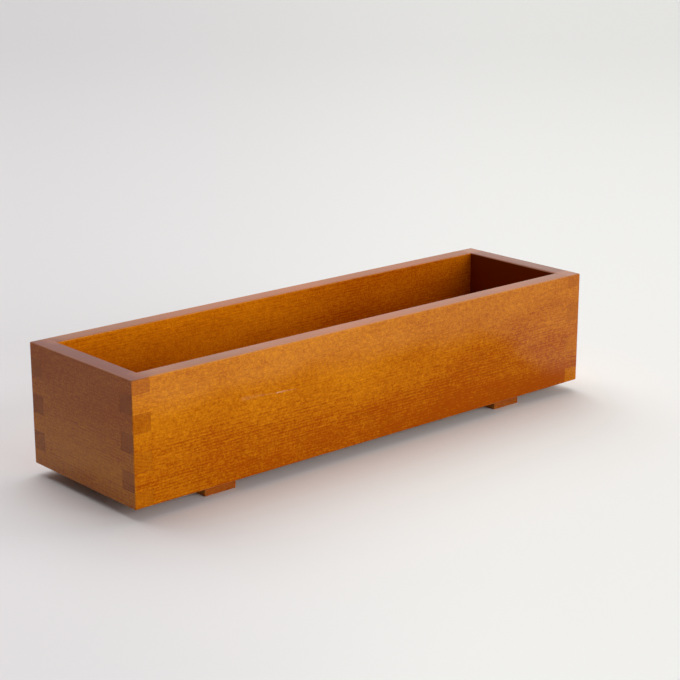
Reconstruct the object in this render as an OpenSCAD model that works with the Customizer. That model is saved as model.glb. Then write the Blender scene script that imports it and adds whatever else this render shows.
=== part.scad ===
// Press mold for block sushi, in stained wood. A finger-jointed frame drops over a loose base board and
// stands on the ends of its two battens. A press board with two cross grips slides down inside the frame.
//
// X runs along the mold, Y from front to back and Z up. The origin is under the middle of the base, on the
// surface that the battens stand on. All sizes are in millimetres.

/* [Frame] */
// Outside length of the frame
frame_length = 260; // [200:1:320]
// Outside width of the frame, front to back
frame_width = 73; // [64:1:100]
// Height of the frame's walls
frame_height = 53; // [46:1:80]
// Thickness of the four walls
wall_thickness = 8.4; // [6:0.1:10]
// Radius that the frame's outer edges are sanded to
edge_radius = 0.5; // [0.3:0.1:1.5]
// Chamfer round the inside of the rim and of the foot
inner_chamfer = 0.5; // [0.2:0.1:1]

/* [Finger joints] */
// Height of one finger
finger_height = 8; // [6:0.5:10]
// Height of the uppermost finger, which the end walls have
top_finger_height = 6; // [4:0.5:8]

/* [Base] */
// Thickness of the base board
base_thickness = 8; // [6:0.5:12]
// Gap all round the base board and the press board inside the frame
board_clearance = 0.5; // [0.3:0.1:1]
// Radius of the upright corners of both boards
board_corner_radius = 1.5; // [0.5:0.5:3]
// Height of the battens that the mold stands on
batten_height = 5; // [4:0.5:10]
// Width of a batten, along the mold
batten_width = 16; // [12:1:24]
// Distance from each end of the frame to the middle of its batten
batten_from_end = 45; // [30:1:70]
// How far a batten's ends stay back from the frame's faces
batten_setback = 4; // [2:0.5:6]

/* [Base screws] */
// Distance between the two screws of a batten
screw_spacing = 36; // [24:1:40]
// Diameter of a screw's shank
screw_diameter = 3.2; // [2.5:0.1:4]
// Diameter of a screw's countersunk head
screw_head_diameter = 6.4; // [5.5:0.1:8]
// How far a screw's head lies below the batten's face
screw_recess = 0.3; // [0.1:0.1:0.6]
// Wood left over a screw's tip
screw_cover = 2; // [1:0.5:3]

/* [Press] */
// Thickness of the press board
press_thickness = 8; // [6:0.5:12]
// Height of a grip above the press board
grip_height = 12; // [9:0.5:16]
// Width of a grip, along the mold
grip_width = 14; // [11:1:20]
// Distance from each end of the press board to the middle of its grip
grip_from_end = 55; // [35:1:80]
// How far a grip's ends stay back from the board's long edges
grip_setback = 3; // [1:0.5:8]
// Depth of the housing that a grip sits in
grip_housing = 2; // [1:0.5:3]
// Radius of a grip's upper edges
grip_radius = 3; // [1:0.5:4]

/* [Grip pegs] */
// Distance between the two pegs of a grip
peg_spacing = 26; // [18:1:32]
// Diameter of a peg
peg_diameter = 6; // [4:0.5:7]
// How far a peg stands proud of its grip
peg_proud = 0.3; // [0.1:0.1:0.6]
// Wood left under a peg
peg_cover = 2; // [1:0.5:3]

/* [Hidden] */

$fn = 48;
beyond = 1;                  // how far a cut runs past the face it opens
hole_clearance = 0.05;       // gap round a screw or peg in its hole
batten_edge_radius = 0.6;
board_edge_radius = 0.6;
drive_slot_width = 0.9;      // the cross recess in a screw's head
drive_slot_length = 3.4;
drive_slot_depth = 1.2;

frame_bottom = batten_height;
frame_top = frame_bottom + frame_height;
inner_length = frame_length - 2 * wall_thickness;
inner_width = frame_width - 2 * wall_thickness;
board_length = inner_length - 2 * board_clearance;
board_width = inner_width - 2 * board_clearance;

base_bottom = batten_height;
base_top = base_bottom + base_thickness;
press_bottom = base_top;
press_top = press_bottom + press_thickness;
grip_bottom = press_top - grip_housing;
grip_top = press_top + grip_height;

batten_x = frame_length / 2 - batten_from_end;
batten_length = frame_width - 2 * batten_setback;
screw_length = base_top - screw_cover - screw_recess;
screw_head_depth = (screw_head_diameter - screw_diameter) / 2;
grip_x = board_length / 2 - grip_from_end;
grip_length = board_width - 2 * grip_setback;
peg_bottom = press_bottom + peg_cover;
peg_length = grip_top + peg_proud - peg_bottom;

// The fingers, counted from the rim down. Even ones belong to the end walls, odd ones to the long walls,
// and the lowest takes what the height leaves.
finger_count = round((frame_height - top_finger_height) / finger_height) + 1;
function finger_from_rim(i) =
    i == 0 ? 0 : i == finger_count ? frame_height : top_finger_height + (i - 1) * finger_height;

stain = [0.72, 0.38, 0.12];
stain_pale = [0.78, 0.50, 0.22];
peg_wood = [0.86, 0.70, 0.44];
screw_brass = [0.80, 0.64, 0.32];

// ---- Shapes that repeat ----

// A rectangle about the origin with round corners.
module rounded_rectangle(size, radius) {
    square([size.x - 2 * radius, size.y], center = true);
    square([size.x, size.y - 2 * radius], center = true);
    for (x = [-1, 1], y = [-1, 1])
        translate([x * (size.x / 2 - radius), y * (size.y / 2 - radius)]) circle(radius);
}

// A block on z = 0 whose upright edges have one radius and whose other edges have another.
module eased_block(size, upright_radius, radius) {
    intersection() {
        linear_extrude(size.z) rounded_rectangle([size.x, size.y], upright_radius);
        translate([0, size.y / 2, size.z / 2]) rotate([90, 0, 0])
            linear_extrude(size.y) rounded_rectangle([size.x, size.z], radius);
        translate([-size.x / 2, 0, size.z / 2]) rotate([90, 0, 90])
            linear_extrude(size.x) rounded_rectangle([size.y, size.z], radius);
    }
}

// The two places of what comes in pairs along X, and the two places across Y.
module at_both_ends(x) {
    for (side = [-1, 1]) translate([side * x, 0, 0]) children();
}
module across(spacing) {
    for (side = [-1, 1]) translate([0, side * spacing / 2, 0]) children();
}

// ---- Frame ----

// Outline of the frame's inside, seen along a wall: straight sides that flare at the rim and at the foot.
module flared_outline(width) {
    half = width / 2;
    flare = half + inner_chamfer + beyond;
    polygon([[-half, frame_bottom + inner_chamfer], [-flare, frame_bottom - beyond],
             [flare, frame_bottom - beyond], [half, frame_bottom + inner_chamfer],
             [half, frame_top - inner_chamfer], [flare, frame_top + beyond],
             [-flare, frame_top + beyond], [-half, frame_top - inner_chamfer]]);
}

module cavity() {
    intersection() {
        translate([-frame_length / 2, 0, 0]) rotate([90, 0, 90])
            linear_extrude(frame_length) flared_outline(inner_width);
        translate([0, frame_width / 2, 0]) rotate([90, 0, 0])
            linear_extrude(frame_width) flared_outline(inner_length);
    }
}

module frame_body() {
    difference() {
        translate([0, 0, frame_bottom])
            eased_block([frame_length, frame_width, frame_height], edge_radius, edge_radius);
        cavity();
    }
}

// Blocks that hold the fingers of one set of walls: parity 0 for the end walls, 1 for the long walls.
module finger_bands(size, parity) {
    for (i = [parity : 2 : finger_count - 1]) {
        upper = finger_from_rim(i);
        lower = finger_from_rim(i + 1);
        translate([-size.x / 2, -size.y / 2, frame_top - lower]) cube([size.x, size.y, lower - upper]);
    }
}

// The space of a long wall (side -1 at the front) with its fingers.
module long_wall_space(side) {
    translate([0, side * (frame_width - wall_thickness) / 2, 0]) {
        translate([-inner_length / 2, -wall_thickness / 2, frame_bottom])
            cube([inner_length, wall_thickness, frame_height]);
        finger_bands([frame_length, wall_thickness], 1);
    }
}

// The space of an end wall (side -1 at the left) with its fingers.
module end_wall_space(side) {
    translate([side * (frame_length - wall_thickness) / 2, 0, 0]) {
        translate([-wall_thickness / 2, -inner_width / 2, frame_bottom])
            cube([wall_thickness, inner_width, frame_height]);
        finger_bands([wall_thickness, frame_width], 0);
    }
}

module long_wall(side) {
    color(stain) intersection() {
        frame_body();
        long_wall_space(side);
    }
}

module end_wall(side) {
    color(stain) intersection() {
        frame_body();
        end_wall_space(side);
    }
}

// ---- Base ----

// A countersunk screw that points up, or with a clearance the hole that it fits.
module screw_shape(clearance) {
    shank = screw_diameter / 2 + clearance;
    head = screw_head_diameter / 2 + clearance;
    tip_length = screw_diameter;
    translate([0, 0, screw_recess]) {
        cylinder(h = screw_head_depth, r1 = head, r2 = shank);
        cylinder(h = screw_length - tip_length, r = shank);
        translate([0, 0, screw_length - tip_length])
            cylinder(h = tip_length + clearance, r1 = shank, r2 = 0.2);
    }
}

module screw_hole() {
    screw_shape(hole_clearance);
    translate([0, 0, -beyond])
        cylinder(h = screw_recess + beyond, r = screw_head_diameter / 2 + hole_clearance);
}

module all_screw_places() {
    at_both_ends(batten_x) across(screw_spacing) children();
}

module base_board() {
    color(stain_pale) difference() {
        translate([0, 0, base_bottom])
            eased_block([board_length, board_width, base_thickness], board_corner_radius, board_edge_radius);
        all_screw_places() screw_hole();
    }
}

module base_batten(side) {
    color(stain_pale) translate([side * batten_x, 0, 0]) difference() {
        eased_block([batten_width, batten_length, batten_height], batten_edge_radius, batten_edge_radius);
        across(screw_spacing) screw_hole();
    }
}

module base_screws() {
    color(screw_brass) all_screw_places() difference() {
        screw_shape(0);
        translate([0, 0, screw_recess - beyond]) for (turn = [0, 90]) rotate(turn)
            translate([-drive_slot_length / 2, -drive_slot_width / 2, 0])
                cube([drive_slot_length, drive_slot_width, drive_slot_depth + beyond]);
    }
}

// ---- Press ----

module peg_hole() {
    translate([0, 0, peg_bottom - hole_clearance])
        cylinder(h = grip_top + beyond - peg_bottom + hole_clearance, d = peg_diameter + 2 * hole_clearance);
}

module press_board() {
    color(stain_pale) difference() {
        translate([0, 0, press_bottom])
            eased_block([board_length, board_width, press_thickness], board_corner_radius, board_edge_radius);
        at_both_ends(grip_x) {
            translate([-grip_width / 2, -board_width / 2 - beyond, grip_bottom])
                cube([grip_width, board_width + 2 * beyond, grip_housing + beyond]);
            across(peg_spacing) peg_hole();
        }
    }
}

// Outline of a grip's side: square at the foot, with both upper corners rounded.
module grip_outline(span) {
    translate([-span / 2, grip_bottom]) square([span, grip_top - grip_bottom - grip_radius]);
    translate([-span / 2 + grip_radius, grip_bottom])
        square([span - 2 * grip_radius, grip_top - grip_bottom]);
    for (side = [-1, 1])
        translate([side * (span / 2 - grip_radius), grip_top - grip_radius]) circle(grip_radius);
}

module press_grip(side) {
    color(stain) translate([side * grip_x, 0, 0]) difference() {
        intersection() {
            translate([0, grip_length / 2, 0]) rotate([90, 0, 0]) linear_extrude(grip_length)
                grip_outline(grip_width);
            translate([-grip_width / 2, 0, 0]) rotate([90, 0, 90])
                linear_extrude(grip_width) grip_outline(grip_length);
        }
        across(peg_spacing) peg_hole();
    }
}

module grip_pegs() {
    color(peg_wood) at_both_ends(grip_x) across(peg_spacing)
        translate([0, 0, peg_bottom]) cylinder(h = peg_length, d = peg_diameter);
}

long_wall(-1);  // front_wall
long_wall(1);  // back_wall
end_wall(-1);  // left_end_wall
end_wall(1);  // right_end_wall
base_board();
base_batten(-1);  // left_base_batten
base_batten(1);  // right_base_batten
base_screws();
press_board();
press_grip(-1);  // left_press_grip
press_grip(1);  // right_press_grip
grip_pegs();
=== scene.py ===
"""Looks of a wooden press mold for block sushi: finger-jointed frame, base board on battens, and press."""

import math

import bmesh
import bpy
from bpy.props import FloatProperty, FloatVectorProperty, PointerProperty
from mathutils import Matrix, Vector


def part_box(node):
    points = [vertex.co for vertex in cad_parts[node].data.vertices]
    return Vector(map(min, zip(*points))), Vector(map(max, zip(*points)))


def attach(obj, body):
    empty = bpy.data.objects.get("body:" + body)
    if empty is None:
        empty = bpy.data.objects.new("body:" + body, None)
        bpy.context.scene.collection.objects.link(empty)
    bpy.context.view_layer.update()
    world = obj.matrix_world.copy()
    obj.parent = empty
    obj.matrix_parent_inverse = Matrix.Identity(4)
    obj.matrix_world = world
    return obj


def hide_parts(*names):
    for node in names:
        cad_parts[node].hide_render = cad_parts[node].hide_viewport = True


bl_info = {
    "name": "Wooden Press Mold",
    "version": (1, 0, 0),
    "blender": (4, 5, 0),
    "location": "3D View > Sidebar > Press Mold",
    "description": "Models and finishes a finger-jointed wooden press mold round its packed solids",
    "category": "Object",
}

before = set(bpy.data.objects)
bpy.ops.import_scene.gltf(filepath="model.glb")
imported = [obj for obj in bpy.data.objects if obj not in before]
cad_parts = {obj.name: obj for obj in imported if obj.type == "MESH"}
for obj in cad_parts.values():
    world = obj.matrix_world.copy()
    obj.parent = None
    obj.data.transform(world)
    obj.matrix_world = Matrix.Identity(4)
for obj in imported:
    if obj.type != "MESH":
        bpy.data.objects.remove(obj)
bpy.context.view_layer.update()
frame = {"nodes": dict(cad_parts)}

MM = 0.001
TOUCHING = 1e-6
X, Y, Z = 0, 1, 2


def corners(*nodes):
    """Lowest and highest corner of some packed solids together."""
    boxes = [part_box(node) for node in nodes]
    low = Vector(min(box[0][axis] for box in boxes) for axis in range(3))
    high = Vector(max(box[1][axis] for box in boxes) for axis in range(3))
    return low, high


# The packed solids that the pieces are fitted to, in metres.
FRONT_WALL = corners("front_wall")
FRAME = corners("front_wall", "back_wall", "left_end_wall", "right_end_wall")
WALL_THICKNESS = FRONT_WALL[1].y - FRONT_WALL[0].y
BASE_BOARD = corners("base_board")
BATTEN = corners("right_base_batten")
SCREWS = corners("base_screws")
PRESS_BOARD = corners("press_board")
PEGS = corners("grip_pegs")

# The frame's outer faces, its foot and its rim, in millimetres, which the finishes are laid out from.
LEFT, RIGHT = FRAME[0].x / MM, FRAME[1].x / MM
HALF_WIDTH = FRAME[1].y / MM
FOOT, RIM = FRAME[0].z / MM, FRAME[1].z / MM


# ---- Settings ----


def number(name, description, default, **kind):
    """A number from 0 up."""
    return FloatProperty(name=name, description=description, default=default, min=0.0, **kind)


def length(name, description, default):
    """A size in metres that the sidebar shows in the scene's own unit."""
    return number(name, description, default, subtype="DISTANCE", unit="LENGTH", precision=5)


def share(name, description, default):
    """A number from 0 to 1."""
    return number(name, description, default, max=1.0, subtype="FACTOR")


def angle(name, description, degrees):
    """An angle whose default is given in degrees."""
    return FloatProperty(name=name, description=description, default=math.radians(degrees), subtype="ANGLE")


def position(name, description, default):
    """A place in metres."""
    return FloatVectorProperty(
        name=name, description=description, default=default, size=len(default),
        subtype="TRANSLATION", unit="LENGTH",
    )


def colour(name, description, default):
    """A linear colour."""
    return FloatVectorProperty(
        name=name, description=description, default=default, min=0.0, max=1.0, size=3, subtype="COLOR"
    )


def group(kind, name):
    """A group of settings, which its class describes."""
    return PointerProperty(type=kind, name=name, description=kind.__doc__)


class FrameSizes(bpy.types.PropertyGroup):
    """Sizes of the finger-jointed frame."""

    top_finger: length("Top Finger", "Height of the uppermost finger", 6.0 * MM)
    finger: length("Finger", "Height of one finger", 8.0 * MM)
    edge_radius: length("Edge Radius", "Radius that the outer edges are sanded to", 0.5 * MM)
    inner_chamfer: length("Inner Chamfer", "Chamfer inside the rim and the foot", 0.5 * MM)
    seam: length("Seam", "Width that a finger's edges are broken to", 0.05 * MM)
    sunk: length("Sunk", "How far the fingers' end grain has shrunk back at most", 0.06 * MM)


class BoardSizes(bpy.types.PropertyGroup):
    """Sizes of the base board, its battens and the press board."""

    corner_radius: length("Corner Radius", "Radius of the boards' upright corners", 1.5 * MM)
    edge_radius: length("Edge Radius", "Radius of the boards' other edges", 0.6 * MM)
    batten_radius: length("Batten Radius", "Radius of the battens' edges", 0.6 * MM)
    hole_gap: length("Hole Gap", "Gap round a screw or a peg in its hole", 0.05 * MM)


class GripSizes(bpy.types.PropertyGroup):
    """Sizes of the grips and of their pegs."""

    top_radius: length("Top Radius", "Radius of a grip's upper edges", 3.0 * MM)
    side_radius: length("Side Radius", "Radius of a grip's upright edges", 1.0 * MM)
    peg_diameter: length("Peg Diameter", "Diameter of a peg", 6.0 * MM)
    peg_dome: length("Peg Dome", "Radius of a peg's rounded rim", 0.25 * MM)


class ScrewSizes(bpy.types.PropertyGroup):
    """Sizes of the countersunk screws under the base."""

    shank: length("Shank", "Diameter of a screw's shank", 3.2 * MM)
    head: length("Head", "Diameter of a screw's head", 6.4 * MM)
    tip: length("Tip", "Radius of a screw's blunt tip", 0.2 * MM)
    recess_width: length("Recess Width", "Width of one arm of the cross recess", 0.9 * MM)
    recess_span: length("Recess Span", "Length of one arm of the cross recess", 3.4 * MM)
    recess_depth: length("Recess Depth", "Depth of the cross recess", 1.2 * MM)
    recess_taper: share("Recess Taper", "Size of its bottom as a share of its mouth", 0.6)


class WoodFinish(bpy.types.PropertyGroup):
    """Stain, grain and lacquer of the wood."""

    pale: colour("Pale Wood", "Stain where the wood took least of it", (0.735, 0.262, 0.004))
    dark: colour("Dark Wood", "Stain where the wood took most of it", (0.330, 0.058, 0.000))
    end_grain: colour("End Grain", "Tint of end grain", (0.60, 0.45, 0.74))
    left_end_grain: colour("Left End Grain", "Tint of it on the left end wall", (0.78, 0.70, 0.96))
    right_end_grain: colour("Right End Grain", "Tint of it on the right end wall", (0.84, 0.76, 1.0))
    # Painted shade: a dark tint for the right end wall's inner face, in the frame's corner.
    corner_shade: colour("Hidden", "Tint of the dark corner inside the right end", (0.60, 0.60, 0.60))
    # Painted shade: the rim tones make the top edges darker than the faces, darkest round the left end.
    rim: colour("Rim", "Stain on the upper edges of the long walls", (0.340, 0.080, 0.005))
    rim_end_stain_and_shade: colour("Rim End", "Stain on the upper edges of the end walls", (0.150, 0.022, 0.003))
    # edge also serves as a painted highlight in a band along the rims' outer edges.
    edge: colour("Edge", "Stain that the sanding has left on the rounded edges", (0.700, 0.300, 0.060))
    bare: colour("Bare Wood", "Where the lacquer is rubbed off", (0.740, 0.520, 0.380))
    level: share("Level", "Middle of the stain, 0 is dark and 1 is pale", 0.505)
    speckle: number("Speckle", "How much fine speckle varies the stain", 1.35)
    mottle: number("Mottle", "How much mottle of some two millimetres varies it", 0.50)
    cloud: number("Cloud", "How much clouds of some centimetres vary it", 0.40)
    fibre: number("Fibre", "How much the fibres vary it", 0.45)
    pore: number("Pore", "How much the pores darken it", 0.12)
    ring_line: number("Ring Line", "How much the year rings darken it on a board or a grip", 0.42)
    ring: length("Ring", "Distance between two year rings", 1.35 * MM)
    wear: share("Wear", "How much of the stain is gone from the rounded edges", 0.14)
    relief: length("Relief", "Depth of the grain under the lacquer", 0.06 * MM)
    thin_lacquer: share("Thin Lacquer", "Weight of the lacquer where it is thinnest", 0.44)
    thick_lacquer: share("Thick Lacquer", "Weight of the lacquer where it is thickest", 0.74)
    lacquer_roughness: share("Lacquer Roughness", "Roughness of the satin lacquer", 0.26)


class FastenerFinish(bpy.types.PropertyGroup):
    """Colours of the pegs and of the screws."""

    peg: colour("Peg", "Pale end grain of the pegs", (0.62, 0.36, 0.13))
    peg_pore: colour("Peg Pore", "Pores of the pegs", (0.33, 0.14, 0.045))
    brass: colour("Brass", "Clean brass of the screws", (0.80, 0.58, 0.25))
    tarnish: colour("Tarnish", "Tarnished brass of the screws", (0.46, 0.30, 0.12))


class StageSettings(bpy.types.PropertyGroup):
    """Camera, light and floor."""

    camera_place: position("Camera Place", "Where the camera stands", (-0.488419, -0.561681, 0.255688))
    camera_azimuth: angle("Camera Azimuth", "Turn of the view from +Y toward +X", 41.524)
    camera_fall: angle("Camera Fall", "How far the view looks down", 16.031)
    lens: number("Lens", "Focal length on a 36 mm sensor", 91.52, subtype="DISTANCE_CAMERA")
    key_strength: number("Key", "Low front lamp's light on a card that faces it, 1 is white", 0.91)
    side_strength: number("Side", "Right lamp's light on a card that faces it", 0.28)
    top_strength: number("Top", "High lamp's light on a card that faces it", 0.71)
    back_strength: number("Back", "Low back lamp's light on a card that faces it", 0.20)
    sky_strength: number("Sky", "Light that comes evenly from all round", 0.07)
    backdrop: colour("Backdrop", "Colour that reflections show around the part", (0.800, 0.800, 0.790))
    floor_left: colour("Floor Left", "Floor at the left of the picture", (0.735, 0.712, 0.720))
    floor_right: colour("Floor Right", "Floor at the right of the picture", (0.852, 0.848, 0.826))
    floor_bounce: share("Floor Bounce", "Share of the light that the floor returns to the part", 0.60)
    fan_place: position("Fan Place", "Where the floor's two tones fan out from", (-0.488, -0.562))
    fan_azimuth: angle("Fan Azimuth", "Way that this fan opens, from +Y toward +X", 41.5)


class MoldSettings(bpy.types.PropertyGroup):
    """Everything about the mold that a user would change."""

    frame: group(FrameSizes, "Frame")
    boards: group(BoardSizes, "Boards")
    grips: group(GripSizes, "Grips")
    screws: group(ScrewSizes, "Screws")
    wood: group(WoodFinish, "Wood")
    fasteners: group(FastenerFinish, "Pegs and Screws")
    stage: group(StageSettings, "Stage")


# ---- Mesh tools ----

# Faces that meet at less than FLAT become one, and an outward edge above SHARP isn't part of a rounding.
FLAT, SHARP = math.radians(0.5), math.radians(60.0)
SCREW_SIDES, PEG_SIDES = 48, 40


def block(low, high):
    """A closed box between two corners."""
    bm = bmesh.new()
    place = Matrix.Translation((low + high) / 2) @ Matrix.Diagonal((*(high - low), 1.0))
    bmesh.ops.create_cube(bm, size=1.0, matrix=place)
    return bm


def edges_on(bm, *planes):
    """Edges that lie in each of some planes, given as an axis and a place."""
    return [
        edge for edge in bm.edges
        if all(abs(vert.co[axis] - place) < TOUCHING for vert in edge.verts for axis, place in planes)
    ]


def upright_edges(bm):
    """Edges that run along Z."""
    return [
        edge for edge in bm.edges
        if all(abs(edge.verts[0].co[axis] - edge.verts[1].co[axis]) < TOUCHING for axis in (X, Y))
    ]


def sharp_edges(bm):
    """Outward edges that are sharper than a rounding leaves."""
    outward = [edge for edge in bm.edges if edge.is_manifold and edge.is_convex]
    return [edge for edge in outward if edge.calc_face_angle() > SHARP]


def round_edges(bm, edges, radius, segments):
    """Rounds edges, or chamfers them with one segment."""
    bmesh.ops.bevel(
        bm, geom=edges, offset=radius, offset_type="OFFSET", affect="EDGES",
        segments=segments, profile=0.5, material=-1, clamp_overlap=True,
    )


def merge_flat_faces(bm):
    """Joins faces that lie in one plane."""
    bmesh.ops.dissolve_limit(
        bm, angle_limit=FLAT, use_dissolve_boundaries=False, verts=bm.verts, edges=bm.edges, delimit=set()
    )


def mesh_of(name, bm):
    """Turns a bmesh into a mesh."""
    mesh = bpy.data.meshes.new(name)
    bm.to_mesh(mesh)
    bm.free()
    return mesh


def add_object(name, data):
    """Adds a mesh, a camera or a lamp to the scene."""
    added = bpy.data.objects.new(name, data)
    bpy.context.scene.collection.objects.link(added)
    return added


def make_piece(name, bm, material, body, node):
    """Turns a bmesh into a smooth-shaded piece that stands for a packed solid and moves with its body."""
    bmesh.ops.recalc_face_normals(bm, faces=bm.faces)
    mesh = mesh_of(name, bm)
    mesh.polygons.foreach_set("use_smooth", [True] * len(mesh.polygons))
    mesh.materials.append(material)
    piece = add_object(name, mesh)
    weighted = piece.modifiers.new("Flat faces", "WEIGHTED_NORMAL")
    weighted.mode = "FACE_AREA"
    weighted.weight = 100
    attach(piece, body)
    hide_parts(node)


def cut_out(bm, *cutters):
    """Takes closed meshes out of a bmesh and returns what is left of it."""
    objects = []
    for number, shape in enumerate((bm, *cutters)):
        bmesh.ops.recalc_face_normals(shape, faces=shape.faces)
        name = f"cut_{number}"
        objects.append(add_object(name, mesh_of(name, shape)))
    for cutter in objects[1:]:
        boolean = objects[0].modifiers.new(cutter.name, "BOOLEAN")
        boolean.operation = "DIFFERENCE"
        boolean.solver = "EXACT"
        boolean.object = cutter
    solid = objects[0].evaluated_get(bpy.context.evaluated_depsgraph_get())
    left = bmesh.new()
    left.from_mesh(solid.to_mesh())
    solid.to_mesh_clear()
    for thing in objects:
        mesh = thing.data
        bpy.data.objects.remove(thing)
        bpy.data.meshes.remove(mesh)
    return left


def turned(profile, place, segments):
    """A closed solid of revolution about an upright axis, from a profile of radius and height."""
    bm = bmesh.new()
    verts = [bm.verts.new(place + Vector((radius, 0.0, height))) for radius, height in profile]
    edges = [bm.edges.new(pair) for pair in zip(verts, verts[1:])]
    bmesh.ops.spin(
        bm, geom=verts + edges, cent=place, axis=(0.0, 0.0, 1.0), angle=math.tau, steps=segments,
        use_merge=True,
    )
    bmesh.ops.remove_doubles(bm, verts=bm.verts, dist=TOUCHING)
    bmesh.ops.recalc_face_normals(bm, faces=bm.faces)
    return bm


def joined(parts):
    """One bmesh that holds several."""
    whole = bmesh.new()
    for part in parts:
        mesh = mesh_of("part", part)
        whole.from_mesh(mesh)
        bpy.data.meshes.remove(mesh)
    return whole


# ---- Shader tools ----


class Shade:
    """A socket in a material's nodes. Arithmetic on it adds Math nodes, so 1 - mask is a socket too."""

    def __init__(self, tree, socket=None):
        self.tree = tree
        self.socket = socket

    def node(self, kind, inputs=None, output=0, **settings):
        """Adds a node, sets what it is, then its sockets, and returns one of its outputs, if it has any."""
        made = self.tree.nodes.new(kind)
        for name, value in settings.items():
            setattr(made, name, value)
        for name, value in (inputs or {}).items():
            if isinstance(value, Shade):
                self.tree.links.new(value.socket, made.inputs[name])
            else:
                made.inputs[name].default_value = value
        return Shade(self.tree, made.outputs[output]) if len(made.outputs) else None

    def output(self, name):
        """Another output of the same node."""
        return Shade(self.tree, self.socket.node.outputs[name])

    def math(self, operation, *values):
        """A Math node on sockets and numbers."""
        return self.node("ShaderNodeMath", dict(enumerate(values)), operation=operation)

    def __add__(self, other):
        return self.math("ADD", self, other)

    __radd__ = __add__

    def __sub__(self, other):
        return self.math("SUBTRACT", self, other)

    def __rsub__(self, other):
        return self.math("SUBTRACT", other, self)

    def __mul__(self, other):
        return self.math("MULTIPLY", self, other)

    __rmul__ = __mul__

    def __truediv__(self, other):
        return self.math("DIVIDE", self, other)

    def __pow__(self, other):
        return self.math("POWER", self, other)

    def __neg__(self):
        return self * -1.0

    def __abs__(self):
        return self.math("ABSOLUTE", self)

    def larger(self, other):
        """The larger of two numbers."""
        return self.math("MAXIMUM", self, other)

    def smaller(self, other):
        """The smaller of two numbers."""
        return self.math("MINIMUM", self, other)

    def step(self, start, end):
        """0 below start, 1 above end and smooth between; start may be the larger one."""
        inputs = {"Value": self, "From Min": start, "From Max": end}
        return self.node("ShaderNodeMapRange", inputs, interpolation_type="SMOOTHSTEP", clamp=True)

    def blend(self, low, high):
        """A number between two, with this socket as the factor."""
        return low + self * (high - low)

    def mixed(self, low, high):
        """A colour between two, with this socket as the factor."""
        inputs = {0: self, 6: low, 7: high}
        return self.node("ShaderNodeMix", inputs, output=2, data_type="RGBA", clamp_factor=True)

    def scaled(self, factor):
        """A colour or vector times a number."""
        return self.node("ShaderNodeVectorMath", {0: self, "Scale": factor}, operation="SCALE")

    def tinted(self, rgb, mask):
        """A colour times another one where the mask is 1."""
        inputs = {0: mask, 6: self, 7: opaque(rgb)}
        return self.node("ShaderNodeMix", inputs, output=2, data_type="RGBA", blend_type="MULTIPLY")

    def vector(self, x, y, z):
        """A vector from three numbers."""
        return self.node("ShaderNodeCombineXYZ", {0: x, 1: y, 2: z})

    def coordinates(self, kind, unit=1.0):
        """X, Y and Z of a place on the object for kind Object, or of the way that it faces for Normal."""
        place = self.node("ShaderNodeTexCoord", output=kind).scaled(1.0 / unit)
        parts = self.node("ShaderNodeSeparateXYZ", {0: place})
        return [parts.output(axis) for axis in "XYZ"]

    def noise(self, place, detail=2.0, roughness=0.5):
        """Smooth noise from 0 to 1 that changes over about one unit of place."""
        inputs = {"Vector": place, "Scale": 1.0, "Detail": detail, "Roughness": roughness}
        return self.node("ShaderNodeTexNoise", inputs, noise_dimensions="3D")

    def bump(self, height, relief):
        """A normal that shows a height from 0 to 1 as a relief some metres deep."""
        return self.node("ShaderNodeBump", {"Height": height, "Strength": 0.3, "Distance": relief})

    def surface(self, inputs):
        """Ends a material with a Principled shader."""
        shader = self.node("ShaderNodeBsdfPrincipled", inputs)
        self.node("ShaderNodeOutputMaterial", {"Surface": shader})


def new_material(name):
    """An empty material, and a Shade to build its nodes on."""
    material = bpy.data.materials.new(name)
    material.use_nodes = True
    material.node_tree.nodes.clear()
    return material, Shade(material.node_tree)


def opaque(rgb):
    """A colour with full alpha."""
    return (*rgb, 1.0)


def distance(a, b):
    """Length of a way with two parts at right angles."""
    return (a ** 2.0 + b ** 2.0) ** 0.5


# ---- Wood ----


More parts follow.
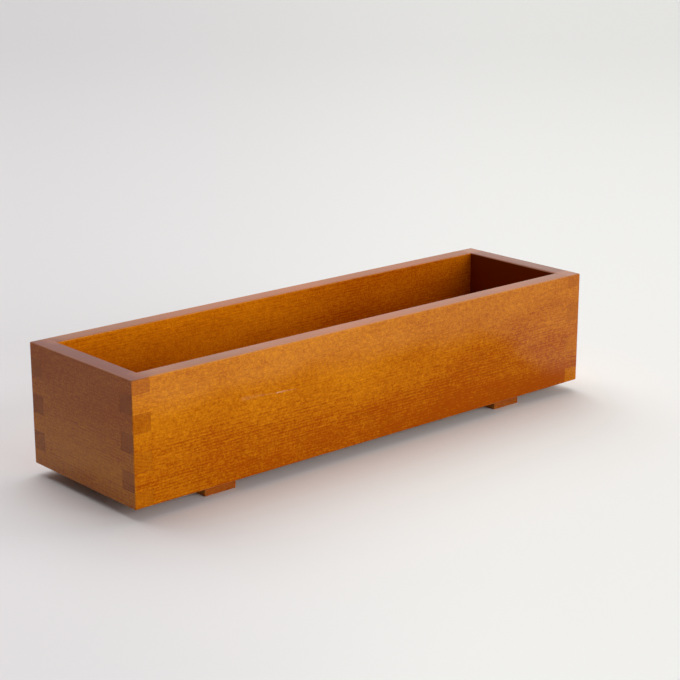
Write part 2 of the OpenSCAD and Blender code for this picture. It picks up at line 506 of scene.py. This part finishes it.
class Board:
    """A place on one board, in millimetres, and the figure of its wood there, in numbers from 0 to 1.

    grain_axis is the axis that the fibres run along, heart the middle of the tree in the plane across it,
    ring the distance between two year rings, and seed moves the figure so that no two boards are alike.
    """

    def __init__(self, shade, grain_axis, heart, ring, seed):
        self.shade = shade
        self.seed = seed
        self.is_long = grain_axis == X
        self.x, self.y, self.z = shade.coordinates("Object", MM)
        self.along, self.across = (self.x, self.y) if self.is_long else (self.y, self.x)
        self.facing = shade.coordinates("Normal")
        sides = [abs(part) for part in self.facing]
        self.end_face = sides[grain_axis].step(0.55, 0.85)
        self.worn = sides[X].larger(sides[Y]).larger(sides[Z]).step(0.985, 0.93)
        self.line = self.ring_lines(heart, ring)
        self.speckle = self.noise(1.1, 1.6, roughness=0.75)
        self.mottle = self.noise(0.45, 0.60, detail=1.0)
        self.cloud = self.noise(0.030, 0.08, detail=3.0)
        self.fibre = self.noise(0.16, 3.2, roughness=0.6)
        pores = shade.vector(self.along * 0.6, self.across * 4.0 + seed, self.z * 4.0)
        self.pore = shade.noise(pores, detail=1.0).step(0.66, 0.76)

    def noise(self, along, across, **settings):
        """Noise that changes so many times a millimetre along and across the fibres."""
        place = self.shade.vector(self.along * along + self.seed, self.across * across, self.z * across)
        return self.shade.noise(place, **settings)

    def ring_lines(self, heart, ring):
        """Dark late wood of the year rings, which wander slowly along the board and come and go."""
        shade = self.shade
        wander = self.noise(0.006, 0.03, detail=1.0) * 2.5
        ripple = self.noise(0.05, 0.3) * 0.45
        from_heart = distance(self.across - heart[0], self.z - heart[1])
        year = (from_heart + wander + ripple) / ring
        year = year + shade.noise(shade.vector(year * 0.31, self.seed, 0.0), detail=1.0) * 1.5
        season = year.math("FRACT", year)
        late_wood = season.step(0.25, 0.92) * season.step(1.0, 0.94)
        dashes = shade.noise(shade.vector(self.along * 0.13 + self.seed, year * 1.3, 3.0))
        clear_years = shade.noise(shade.vector(self.along * 0.01 + self.seed, year * 0.16, 7.0), detail=1.0)
        return late_wood * dashes.step(0.25, 0.75) * clear_years.step(0.35, 0.65).blend(0.35, 1.0)

    def stain(self, wood, ring_line):
        """How pale the stain is, with the year rings' lines so dark."""
        stain = wood.level
        for figure in ("speckle", "mottle", "cloud", "fibre"):
            stain = stain + (getattr(self, figure) - 0.5) * getattr(wood, figure)
        return stain - self.line * ring_line - self.pore * wood.pore

    def lacquered(self, wood, tone, coat):
        """Ends the board's material: a tone under satin lacquer of some weight, with the grain's relief."""
        rough = 0.36 + self.speckle * 0.10 - self.line * 0.05 + self.end_face * 0.10 + self.cloud * 0.06
        height = self.line * 0.30 + self.fibre * 0.35 + self.speckle * 0.25 + self.mottle * 0.30
        normal = self.shade.bump(height - self.pore * 0.60, wood.relief)
        self.shade.surface({
            "Base Color": tone, "Roughness": rough, "Normal": normal, "IOR": 1.10,
            "Coat Weight": coat, "Coat Roughness": wood.lacquer_roughness, "Coat IOR": 1.5,
        })


def board_wood(name, wood, grain_axis, heart, seed):
    """Stained and lacquered wood of a board, a batten or a grip."""
    material, shade = new_material(name)
    board = Board(shade, grain_axis, heart, wood.ring / MM, seed)
    tone = board.stain(wood, wood.ring_line).mixed(opaque(wood.dark), opaque(wood.pale))
    tone = tone.tinted(wood.end_grain, board.end_face)
    tone = (board.worn * wood.wear).mixed(tone, opaque(wood.edge))
    board.lacquered(wood, tone, board.cloud.blend(wood.thin_lacquer, wood.thick_lacquer))
    return material


def from_rim(z):
    """0 at the rim and 1 at the foot."""
    return z.step(RIM - 6.0, FOOT + 6.0)


def faces_front(board):
    """1 where a board faces the front, which is the inside for the back wall."""
    return (-board.facing[Y]).step(0.3, 0.7)


def outer_gloss(board, z):
    """How much of its gloss a wall shows outside: the front above a line, the rest less at the rim."""
    line = RIM - 14.0 - board.x * 0.015 - board.x.step(RIGHT - 75.0, RIGHT - 5.0) * 31.0
    front = (z - line).step(-7.0, 6.0).blend(0.05, 1.0)
    return faces_front(board).blend(from_rim(z).blend(0.74, 1.0), front)


def front_look(board, z):
    """The front wall is shinier above, and painted shade darkens it toward the foot, over its right half
    and along its foot.
    """
    run = from_rim(z)
    right_side_shade = board.x.step(-10.0, 50.0)
    foot = z.step(FOOT + 15.0, FOOT + 3.0) * board.x.step(LEFT + 25.0, LEFT + 80.0)
    # Painted shade: the stain darkens toward the foot, over the right half and along the foot away from the
    # left end.
    return 0.06 - run * 0.28 - right_side_shade * 0.13 - foot * 0.18, run, outer_gloss(board, z), 0.0


def back_look(board, z):
    """Painted shade darkens the back wall toward its foot and on its inner face, most toward the right end
    and below the rim near the left end.
    """
    run = from_rim(z)
    inside = faces_front(board)
    right_side_shade = board.x.step(-20.0, 55.0)
    low_left_shade = board.x.step(LEFT + 85.0, LEFT + 50.0) * z.step(RIM, RIM - 10.0)
    # Painted shade on the inner face, where the front wall and the right end wall would shade it.
    darker = 0.04 + right_side_shade * 0.32 + low_left_shade * 0.15
    gloss = inside.blend(outer_gloss(board, z), 0.3)
    return 0.06 - run * 0.12 - inside * darker, run + inside * 0.35, gloss, 0.0


def end_look(board, z):
    """Painted light and shade: the end walls are darkest at the rim, paler toward the foot and a little
    dark again just above it, and the right one's inner face is painted dark as the shade in the frame's
    corner.
    """
    run = from_rim(z)
    foot = z.step(FOOT + 10.0, FOOT + 1.0)
    # Painted shade on the right end wall's inner face, in the frame's corner.
    corner_shade = (-board.facing[X]).step(0.3, 0.7) * board.x.step(0.0, 1.0)
    # Painted light and shade: darkest at the rim, paler toward the foot, and dark again just above it.
    paler = run * 0.38 - 0.34 - foot * 0.12 - corner_shade * 0.4
    return paler, run * 0.3 + 0.2, outer_gloss(board, z) * (1.0 - corner_shade), corner_shade


def rim_of(board, wood):
    """A wall's upper edge: where it is, its tone, the gloss that it adds, and the band along its outer rim
    that is painted as a soft highlight and wear.

    Its tone has painted shade and light in it: darkest round the frame's left end and palest in the long
    walls' middle, as the light and reflections fall on the top edges.
    """
    streaks = board.shade.noise(board.shade.vector(board.along * 0.02 + board.seed, 0.0, 0.0))
    level = 0.35 + board.speckle * 0.6 + streaks * 0.7
    pale = board.x.step(LEFT + 1.0, LEFT + 16.0)
    off_edge = (HALF_WIDTH - abs(board.y)).smaller(RIGHT - abs(board.x))
    # Painted highlight and wear: a band along the rim's outer edges.
    sanded = off_edge.step(2.6, 0.2)
    if board.is_long:
        mask = board.facing[Z].step(0.80, 0.96)
        left_rim_shade = board.x.step(LEFT + 70.0, LEFT + 30.0)
        middle = board.x.step(-70.0, -10.0) * board.x.step(70.0, 10.0)
        level = level - left_rim_shade * 0.20 + middle * 0.16
        gloss = pale * 0.25
    else:
        mask = board.facing[Z].step(0.30, 0.75)
        corner = abs(board.y).step(HALF_WIDTH - 12.5, HALF_WIDTH - 6.5)
        right_end = board.x.step(0.0, 1.0)
        pale = (pale * corner).larger(right_end * 0.35)
        gloss = pale * 0.25 + right_end * 0.27
        sanded = sanded * 0.3
    # The rim's tone, with painted shade round the left end and painted light in the long walls' middle.
    tone = pale.mixed(opaque(wood.rim_end_stain_and_shade), opaque(wood.rim)).scaled(level)
    return mask, tone, gloss, sanded * mask


def wall_wood(name, wood, grain_axis, heart, seed, look_of, end_tint, marked=False):
    """Stained and lacquered wood of one wall of the frame.

    look_of tells, for a point and its wavering height, how much paler the wall is than a plain board,
    painted light and shade included, how clear its grain is, how much of its gloss it shows and how much of
    the corner's painted shade it has. end_tint is the tint of its end grain, and marked puts the worn marks
    on it.
    """
    material, shade = new_material(name)
    board = Board(shade, grain_axis, heart, wood.ring / MM, seed)
    paler, grain, gloss, corner_shade = look_of(board, board.z + (board.cloud - 0.5) * 12.0)
    rim, rim_tone, rim_gloss, sanded = rim_of(board, wood)
    stain = board.stain(wood, grain.blend(0.16, 0.62)) + paler * (1.0 - board.end_face)
    tone = stain.mixed(opaque(wood.dark), opaque(wood.pale))
    tone = tone.tinted(end_tint, board.end_face * from_rim(board.z).blend(1.0, 0.7))
    # Painted shade on the right end wall's inner face.
    tone = tone.tinted(wood.corner_shade, corner_shade)
    # The rim's tone with its painted shade, then a painted highlight and wear in a band along the rim's
    # outer edges.
    tone = rim.mixed(tone, rim_tone)
    tone = (sanded * 0.25).mixed(tone, opaque(wood.edge))
    tone = (board.worn * (wood.wear if board.is_long else 0.05)).mixed(tone, opaque(wood.edge))
    if marked:
        tone = worn_marks(board).mixed(tone, opaque(wood.bare))
    coat = board.cloud.blend(wood.thin_lacquer, wood.thick_lacquer)
    on_top = abs(board.facing[Z]).step(0.3, 0.7)
    coat = on_top.blend(coat * gloss, coat + 0.05 + rim_gloss) * (1.0 - sanded * 0.35)
    board.lacquered(wood, tone, coat)
    return material


def stroke(board, start, end, width):
    """Mask of a ragged stroke on the front face, which fades toward its end.

    Its two places are measured in millimetres from the frame's left end and down from its rim.
    """
    length_x, length_z = end[0] - start[0], start[1] - end[1]
    from_x, from_z = board.x - (LEFT + start[0]), board.z - (RIM - start[1])
    travel = (from_x * length_x + from_z * length_z) / (length_x ** 2 + length_z ** 2)
    travel = travel.node("ShaderNodeClamp", {"Value": travel})
    rag = board.shade.vector(board.x * 1.1, RIM - start[1], board.z * 2.5)
    rag = board.shade.noise(rag, detail=3.0, roughness=0.7) - 0.5
    off = distance(from_x - travel * length_x, from_z - travel * length_z) + rag * width * 3.0
    return off.step(width, width * 0.2) * (1.0 - travel * 0.6)


def worn_marks(board):
    """Mask of a rubbed spot in the front wall's lacquer, and of a nick beside it with a thin tail."""
    rubbed = stroke(board, (54.0, 18.7), (64.0, 19.1), width=1.1) * 0.06
    trace = stroke(board, (63.0, 19.2), (72.0, 19.8), width=0.25) * 0.10
    nick = stroke(board, (72.0, 19.9), (76.0, 20.0), width=0.38) * 0.45
    tail = stroke(board, (76.0, 20.0), (82.0, 20.3), width=0.22) * 0.20
    return (rubbed + trace + nick + tail) * (-board.facing[Y]).step(0.5, 0.8)


# ---- Other finishes ----


def peg_wood(name, finish):
    """Pale dowels: end grain on top, with fine pores."""
    material, shade = new_material(name)
    x, y, z = shade.coordinates("Object", MM)
    cells = {"Vector": shade.vector(x, y, z * 0.05), "Scale": 2.6}
    pores = shade.node("ShaderNodeTexVoronoi", cells, feature="F1").step(0.32, 0.12)
    bands = shade.noise(shade.vector(x * 0.7, y * 0.25, z * 0.02))
    shade.surface({
        "Base Color": (pores * 0.55 + bands * 0.3).mixed(opaque(finish.peg), opaque(finish.peg_pore)),
        "Roughness": 0.45 + pores * 0.2, "IOR": 1.45, "Coat Weight": 0.25, "Coat Roughness": 0.25,
        "Normal": shade.bump(1.0 - pores, 0.05 * MM),
    })
    return material


def turned_brass(name, finish):
    """Brass with the rings that the lathe leaves, a little tarnished."""
    material, shade = new_material(name)
    x, y, z = shade.coordinates("Object", MM)
    tarnish = shade.noise(shade.vector(x * 0.6, y * 0.6, z * 0.6), detail=4.0).step(0.35, 0.75)
    rings = shade.noise(shade.vector(x * 0.05, y * 0.05, z * 6.0))
    shade.surface({
        "Base Color": tarnish.mixed(opaque(finish.brass), opaque(finish.tarnish)),
        "Metallic": 1.0, "Roughness": 0.24 + tarnish * 0.25 + rings * 0.08,
        "Normal": shade.bump(rings, 0.04 * MM),
    })
    return material


def floor_finish(settings):
    """Floor that takes the part's shadow: the camera sees the picture's tones, other rays a plain grey.

    The tones run from left to right across a fan and darken along it. They are painted lighter at the back
    of the part's left half, as light over the part's shadow there, and turn into the backdrop's colour far
    away.
    """
    material, shade = new_material("stage_floor")
    x, y = shade.coordinates("Object")[:2]
    from_x, from_y = x - settings.fan_place[X], y - settings.fan_place[Y]
    sine, cosine = math.sin(settings.fan_azimuth), math.cos(settings.fan_azimuth)
    away = from_x * sine + from_y * cosine
    aside = from_x * cosine - from_y * sine
    bearing = (aside / away.larger(0.2)).step(-0.22, 0.12)
    # Painted light: lightens the floor where the part's shadow falls at the back of its left half.
    light_on_shadow = distance(x + 0.105, y - 0.115).step(0.13, 0.02)
    far = distance(x, y).step(2.4, 5.0)
    tone = bearing.mixed(opaque(settings.floor_left), opaque(settings.floor_right))
    tone = tone.scaled(1.0 - away.step(0.9, 2.4) * 0.12).scaled(1.0 + light_on_shadow * 0.09)
    tone = far.mixed(tone, opaque(channel * 1.03 for channel in settings.backdrop))
    seen = shade.node("ShaderNodeLightPath", output="Is Camera Ray")
    grey = opaque((settings.floor_bounce,) * 3)
    shade.surface({"Base Color": seen.mixed(grey, tone), "Roughness": 1.0, "Specular IOR Level": 0.0})
    return material


# ---- Frame ----


def finger_levels(sizes):
    """Heights of the finger joints' steps, from the rim down to the foot."""
    low, high = FRAME[0].z, FRAME[1].z
    count = round((high - low - sizes.top_finger) / sizes.finger) + 1
    steps = [high - sizes.top_finger - number * sizes.finger for number in range(count - 1)]
    return [high, *steps, low]


def finger_shrink(sizes, number, side, axis):
    """How far a finger's end has sunk: one of five even steps, so that neighbouring fingers differ."""
    return sizes.sunk * ((number * 3 + (side > 0.0) * 2 + axis) % 5) / 4


def wall_with_fingers(sizes, low, high, axis, first):
    """A board between two corners that ends in a finger in every second step of both joints.

    axis is the one that the board runs along, and first, 0 or 1, is the uppermost step that holds one of
    its fingers. The fingers reach past its ends by a wall's thickness.
    """
    bm = block(low, high)
    levels = finger_levels(sizes)
    for level in levels[1:-1]:
        bmesh.ops.bisect_plane(
            bm, geom=bm.verts[:] + bm.edges[:] + bm.faces[:], dist=TOUCHING,
            plane_co=(0.0, 0.0, level), plane_no=(0.0, 0.0, 1.0),
        )
    for number in range(first, len(levels) - 1, 2):
        upper, lower = levels[number:number + 2]
        for side in (-1.0, 1.0):
            ends = [
                face for face in bm.faces
                if face.normal[axis] * side > 0.9 and lower < face.calc_center_median().z < upper
            ]
            reach = Vector()
            reach[axis] = side * (WALL_THICKNESS - finger_shrink(sizes, number, side, axis))
            moved = bmesh.ops.extrude_face_region(bm, geom=ends)["geom"]
            bmesh.ops.delete(bm, geom=ends, context="FACES_ONLY")
            verts = [part for part in moved if isinstance(part, bmesh.types.BMVert)]
            bmesh.ops.translate(bm, verts=verts, vec=reach)
            bm.normal_update()
    return bm


def dress_wall(bm, sizes, axis, outer, inner, inner_end):
    """Chamfers a wall's inner edges, mitred at each end, rounds its outer ones and breaks the fingers'.

    outer and inner are the places of its two faces, and inner_end that of the neighbours' inner faces.
    """
    facing = Y if axis == X else X
    low, high = FRAME[0].z, FRAME[1].z
    for level in (low, high):
        chamfered = [
            edge for edge in edges_on(bm, (facing, inner), (Z, level))
            if all(abs(vert.co[axis]) < inner_end + TOUCHING for vert in edge.verts)
        ]
        round_edges(bm, chamfered, sizes.inner_chamfer, segments=1)
        for vert in bm.verts:
            at_corner = abs(abs(vert.co[axis]) - inner_end) < TOUCHING and abs(vert.co.z - level) < TOUCHING
            near_inner = abs(vert.co[facing] - inner) < sizes.inner_chamfer + TOUCHING
            if axis == Y and at_corner and near_inner:
                vert.co[axis] += math.copysign(sizes.inner_chamfer, vert.co[axis])
    merge_flat_faces(bm)
    rounded = edges_on(bm, (facing, outer), (Z, low)) + edges_on(bm, (facing, outer), (Z, high))
    nearly_out = FRAME[1][axis] - 2.0 * sizes.sunk
    for end in sorted({round(vert.co[axis], 7) for vert in bm.verts if abs(vert.co[axis]) > nearly_out}):
        for plane in ((facing, outer), (Z, low), (Z, high)):
            rounded += edges_on(bm, (axis, end), plane)
    round_edges(bm, list(set(rounded)), sizes.edge_radius, segments=4)
    round_edges(bm, sharp_edges(bm), sizes.seam, segments=1)
    return bm


def frame_wall(sizes, axis, side):
    """A wall along X or Y: the front or left one for side -1, the back or right one for side 1.

    The end walls, which run along Y, hold the uppermost finger.
    """
    facing = Y if axis == X else X
    outer, inner = side * FRAME[1][facing], side * (FRAME[1][facing] - WALL_THICKNESS)
    inner_end = FRAME[1][axis] - WALL_THICKNESS
    low, high = FRAME[0].copy(), FRAME[1].copy()
    low[facing], high[facing] = min(outer, inner), max(outer, inner)
    low[axis], high[axis] = -inner_end, inner_end
    bm = wall_with_fingers(sizes, low, high, axis, first=1 if axis == X else 0)
    return dress_wall(bm, sizes, axis, outer, inner, inner_end)


class MOLD_OT_long_walls(bpy.types.Operator):
    """Model the front and the back wall with the fingers at their ends"""

    bl_idname = "press_mold.long_walls"
    bl_label = "Long Walls"

    def execute(self, context):
        sizes, wood = context.scene.press_mold.frame, context.scene.press_mold.wood
        walls = (
            ("front_wall", -1.0, (-20.0, -160.0), 4.0, front_look, True),
            ("back_wall", 1.0, (70.0, 210.0), 17.0, back_look, False),
        )
        for name, side, heart, seed, look_of, marked in walls:
            material = wall_wood(f"{name}_wood", wood, X, heart, seed, look_of, wood.end_grain, marked)
            bm = frame_wall(sizes, X, side)
            make_piece(f"{name}_board", bm, material, "frame", name)
        return {"FINISHED"}


class MOLD_OT_end_walls(bpy.types.Operator):
    """Model the two end walls with the fingers at their ends"""

    bl_idname = "press_mold.end_walls"
    bl_label = "End Walls"

    def execute(self, context):
        sizes, wood = context.scene.press_mold.frame, context.scene.press_mold.wood
        walls = (
            ("left_end", -1.0, (-165.0, -120.0), 31.0, wood.left_end_grain),
            ("right_end", 1.0, (150.0, 190.0), 43.0, wood.right_end_grain),
        )
        for name, side, heart, seed, end_tint in walls:
            material = wall_wood(f"{name}_wood", wood, Y, heart, seed, end_look, end_tint)
            bm = frame_wall(sizes, Y, side)
            make_piece(f"{name}_board", bm, material, "frame", f"{name}_wall")
        return {"FINISHED"}


# ---- Base ----


def eased_board(low, high, corner_radius, edge_radius):
    """A board with rounded upright corners and softer edges all round."""
    bm = block(low, high)
    round_edges(bm, upright_edges(bm), corner_radius, segments=5)
    round_edges(bm, edges_on(bm, (Z, low.z)) + edges_on(bm, (Z, high.z)), edge_radius, segments=3)
    return bm


def screw_places(sizes):
    """The middle of each screw's head, on the plane of its face."""
    reach_x = (BATTEN[0].x + BATTEN[1].x) / 2
    reach_y = SCREWS[1].y - sizes.head / 2
    return [Vector((x, y, SCREWS[0].z)) for x in (-reach_x, reach_x) for y in (-reach_y, reach_y)]


def screw_profile(sizes, gap=0.0):
    """Radius and height of a screw from its head's rim up to its tip, with a gap all round."""
    head, shank = sizes.head / 2 + gap, sizes.shank / 2 + gap
    neck = (sizes.head - sizes.shank) / 2
    top = SCREWS[1].z - SCREWS[0].z + gap
    return [(head, 0.0), (shank, neck), (shank, top - sizes.shank), (sizes.tip, top), (0.0, top)]


def screw(sizes, place):
    """A countersunk screw with a cross recess."""
    body = turned([(0.0, 0.0), *screw_profile(sizes)], place, SCREW_SIDES)
    taper = (sizes.recess_taper, sizes.recess_taper, 1.0)
    reach = Vector((sizes.recess_span / 2, sizes.recess_width / 2, sizes.recess_depth))
    arms = []
    for half in (reach, reach.yxz):
        arm = block(place - half, place + half)
        inner = [vert for vert in arm.verts if vert.co.z > place.z]
        bmesh.ops.scale(arm, vec=taper, space=Matrix.Translation(-place), verts=inner)
        arms.append(arm)
    return cut_out(body, *arms)


def screw_hole(sizes, place, gap, below):
    """A screw's hole, which its head's width carries on some way below the head."""
    start = [(0.0, -below), (sizes.head / 2 + gap, -below)]
    return turned([*start, *screw_profile(sizes, gap)], place, SCREW_SIDES)


class MOLD_OT_base_board(bpy.types.Operator):
    """Model the loose board that closes the mold's foot"""

    bl_idname = "press_mold.base_board"
    bl_label = "Base Board"

    def execute(self, context):
        settings = context.scene.press_mold
        sizes, screws = settings.boards, settings.screws
        bm = eased_board(*BASE_BOARD, sizes.corner_radius, sizes.edge_radius)
        gap, below = sizes.hole_gap, BATTEN[1].z
        holes = [screw_hole(screws, place, gap, below) for place in screw_places(screws)]
        wood = board_wood("base_board_wood", settings.wood, X, heart=(-35.0, -140.0), seed=57.0)
        make_piece("base_board_plank", cut_out(bm, *holes), wood, "base", "base_board")
        return {"FINISHED"}


class MOLD_OT_base_battens(bpy.types.Operator):
    """Model the two battens that the mold stands on, with countersunk holes"""

    bl_idname = "press_mold.base_battens"
    bl_label = "Base Battens"

    def execute(self, context):
        settings = context.scene.press_mold
        sizes, screws = settings.boards, settings.screws
        for name, sign, seed in (("left", -1.0, 63.0), ("right", 1.0, 71.0)):
            low, high = corners(f"{name}_base_batten")
            bm = eased_board(low, high, sizes.batten_radius, sizes.batten_radius)
            places = [place for place in screw_places(screws) if place.x * sign > 0.0]
            holes = [screw_hole(screws, place, sizes.hole_gap, below=2.0 * MM) for place in places]
            bm = cut_out(bm, *holes)
            wood = board_wood(f"{name}_batten_wood", settings.wood, Y, (sign * 60.0, -90.0), seed)
            make_piece(f"{name}_batten_strip", bm, wood, "base", f"{name}_base_batten")
        return {"FINISHED"}


class MOLD_OT_base_screws(bpy.types.Operator):
    """Model the four countersunk screws that hold the battens"""

    bl_idname = "press_mold.base_screws"
    bl_label = "Base Screws"

    def execute(self, context):
        settings = context.scene.press_mold
        bm = joined([screw(settings.screws, place) for place in screw_places(settings.screws)])
        brass = turned_brass("screw_brass", settings.fasteners)
        make_piece("base_screw_set", bm, brass, "base", "base_screws")
        return {"FINISHED"}


# ---- Press ----


def peg_places(sizes):
    """The foot of each peg's axis."""
    reach_x, reach_y = PEGS[1].x - sizes.peg_diameter / 2, PEGS[1].y - sizes.peg_diameter / 2
    return [Vector((x, y, PEGS[0].z)) for x in (-reach_x, reach_x) for y in (-reach_y, reach_y)]


def peg_hole(place, radius, top):
    """A peg's hole, from the peg's foot up to some height."""
    tall = top - place.z
    return turned([(0.0, 0.0), (radius, 0.0), (radius, tall), (0.0, tall)], place, PEG_SIDES)


class MOLD_OT_press_board(bpy.types.Operator):
    """Model the board that presses the rice, with a housing across it for each grip"""

    bl_idname = "press_mold.press_board"
    bl_label = "Press Board"

    def execute(self, context):
        settings = context.scene.press_mold
        sizes = settings.boards
        bm = eased_board(*PRESS_BOARD, sizes.corner_radius, sizes.edge_radius)
        clear = 5.0 * MM
        cutters = []
        for side in ("left", "right"):
            low, high = corners(f"{side}_press_grip")
            low.y, high.y = PRESS_BOARD[0].y - clear, PRESS_BOARD[1].y + clear
            cutters.append(block(low, high))
        radius, top = settings.grips.peg_diameter / 2 + sizes.hole_gap, PRESS_BOARD[1].z + clear
        cutters += [peg_hole(place, radius, top) for place in peg_places(settings.grips)]
        wood = board_wood("press_board_wood", settings.wood, X, heart=(25.0, -170.0), seed=83.0)
        make_piece("press_board_plank", cut_out(bm, *cutters), wood, "press", "press_board")
        return {"FINISHED"}


class MOLD_OT_press_grips(bpy.types.Operator):
    """Model the two cross grips with rounded tops and holes for their pegs"""

    bl_idname = "press_mold.press_grips"
    bl_label = "Press Grips"

    def execute(self, context):
        settings = context.scene.press_mold
        sizes = settings.grips
        radius = sizes.peg_diameter / 2 + settings.boards.hole_gap
        for name, sign, seed in (("left", -1.0, 91.0), ("right", 1.0, 103.0)):
            low, high = corners(f"{name}_press_grip")
            bm = block(low, high)
            round_edges(bm, edges_on(bm, (Z, high.z)), sizes.top_radius, segments=8)
            upright = [edge for edge in upright_edges(bm) if edge.calc_length() > sizes.top_radius]
            round_edges(bm, upright, sizes.side_radius, segments=4)
            top = high.z + sizes.top_radius
            places = [place for place in peg_places(sizes) if place.x * sign > 0.0]
            bm = cut_out(bm, *(peg_hole(place, radius, top) for place in places))
            wood = board_wood(f"{name}_grip_wood", settings.wood, Y, (sign * 66.0 - 30.0, -60.0), seed)
            make_piece(f"{name}_grip_bar", bm, wood, "press", f"{name}_press_grip")
        return {"FINISHED"}


class MOLD_OT_grip_pegs(bpy.types.Operator):
    """Model the four pegs that hold the grips"""

    bl_idname = "press_mold.grip_pegs"
    bl_label = "Grip Pegs"

    def execute(self, context):
        settings = context.scene.press_mold
        sizes = settings.grips
        radius, tall, dome = sizes.peg_diameter / 2, PEGS[1].z - PEGS[0].z, sizes.peg_dome
        turns = [math.radians(degrees) for degrees in (0.0, 30.0, 60.0, 90.0)]
        middle = Vector((radius - dome, tall - dome))
        rim = [middle + Vector((math.cos(turn), math.sin(turn))) * dome for turn in turns]
        profile = [(0.0, 0.0), (radius, 0.0), *rim, (0.0, tall)]
        bm = joined([turned(profile, place, PEG_SIDES) for place in peg_places(sizes)])
        wood = peg_wood("peg_end_wood", settings.fasteners)
        make_piece("grip_peg_set", bm, wood, "press", "grip_pegs")
        return {"FINISHED"}


# ---- Stage ----


# Each lamp's azimuth from the front (-Y) round to the right (+X), its elevation and the angle that its
# light is spread over, in degrees.
LAMPS = {
    "key": (15.0, 10.0, 50.0),
    "side": (73.0, 23.0, 54.0),
    "top": (156.0, 62.0, 66.0),
    "back": (178.0, 10.0, 60.0),
}
SENSOR_WIDTH = 36.0
FLOOR_REACH = 6.0


def add_camera(scene, settings):
    """The camera at the photograph's viewing angle."""
    camera = add_object("camera", bpy.data.cameras.new("camera"))
    camera.data.lens = settings.lens
    camera.data.sensor_width = SENSOR_WIDTH
    camera.data.clip_start = 10.0 * MM
    camera.location = settings.camera_place
    camera.rotation_euler = (math.pi / 2 - settings.camera_fall, 0.0, -settings.camera_azimuth)
    scene.camera = camera


def add_lamp(name, azimuth, elevation, spread, light_on_card):
    """A distant soft lamp, with its angles in degrees and how much it lights a card that faces it.

    The lacquer shows only the backdrop, as in a light tent, so lamps leave no glare on it.
    """
    sun = bpy.data.lights.new(name, "SUN")
    sun.angle = math.radians(spread)
    sun.energy = light_on_card * math.pi
    turn, rise = math.radians(azimuth), math.radians(elevation)
    toward = Vector((math.sin(turn) * math.cos(rise), -math.cos(turn) * math.cos(rise), math.sin(rise)))
    light = add_object(name, sun)
    light.rotation_euler = toward.to_track_quat("Z", "Y").to_euler()
    light.visible_glossy = False


def light_tent(scene, settings):
    """A world that is seen and reflected as the backdrop, and lights the part evenly with the sky."""
    world = scene.world or bpy.data.worlds.new("world")
    scene.world = world
    world.use_nodes = True
    world.node_tree.nodes.clear()
    shade = Shade(world.node_tree)
    path = shade.node("ShaderNodeLightPath", output="Is Camera Ray")
    seen = path.larger(path.output("Is Glossy Ray")).larger(path.output("Is Transmission Ray"))
    tone = seen.mixed(opaque((settings.sky_strength,) * 3), opaque(settings.backdrop))
    background = shade.node("ShaderNodeBackground", {"Color": tone, "Strength": 1.0})
    shade.node("ShaderNodeOutputWorld", {"Surface": background})


def add_floor(settings):
    """A square floor that the mold stands on."""
    bm = bmesh.new()
    bmesh.ops.create_grid(bm, x_segments=1, y_segments=1, size=FLOOR_REACH)
    floor = add_object("floor", mesh_of("floor", bm))
    floor.data.materials.append(floor_finish(settings))


class MOLD_OT_stage(bpy.types.Operator):
    """Set up the camera, the lamps, the surroundings and the floor"""

    bl_idname = "press_mold.stage"
    bl_label = "Stage"

    def execute(self, context):
        scene = context.scene
        settings = scene.press_mold.stage
        scene.view_settings.view_transform = "Standard"
        add_camera(scene, settings)
        for name, angles in LAMPS.items():
            add_lamp(f"{name}_lamp", *angles, getattr(settings, f"{name}_strength"))
        light_tent(scene, settings)
        add_floor(settings)
        return {"FINISHED"}


# ---- Panel and main ----


class MOLD_PT_sidebar(bpy.types.Panel):
    """Lists the mold's pieces and their settings"""

    bl_label = "Press Mold"
    bl_idname = "MOLD_PT_sidebar"
    bl_space_type = "VIEW_3D"
    bl_region_type = "UI"
    bl_category = "Press Mold"

    def draw(self, context):
        settings = context.scene.press_mold
        for operator in OPERATORS:
            self.layout.operator(operator.bl_idname)
        for group_name in MoldSettings.__annotations__:
            box = self.layout.box()
            part = getattr(settings, group_name)
            for name in part.__annotations__:
                box.prop(part, name)


OPERATORS = (
    MOLD_OT_stage, MOLD_OT_long_walls, MOLD_OT_end_walls, MOLD_OT_base_board, MOLD_OT_base_battens,
    MOLD_OT_base_screws, MOLD_OT_press_board, MOLD_OT_press_grips, MOLD_OT_grip_pegs,
)
CLASSES = (
    FrameSizes, BoardSizes, GripSizes, ScrewSizes, WoodFinish, FastenerFinish, StageSettings, MoldSettings,
    *OPERATORS, MOLD_PT_sidebar,
)


def register():
    """Registers the settings, the operators and the panel."""
    for cls in CLASSES:
        bpy.utils.register_class(cls)
    bpy.types.Scene.press_mold = PointerProperty(type=MoldSettings)


def unregister():
    """Takes them off again."""
    del bpy.types.Scene.press_mold
    for cls in reversed(CLASSES):
        bpy.utils.unregister_class(cls)


def main():
    """Makes the stage and every piece."""
    register()
    for operator in OPERATORS:
        category, name = operator.bl_idname.split(".")
        getattr(getattr(bpy.ops, category), name)()


if __name__ == "__main__":
    main()
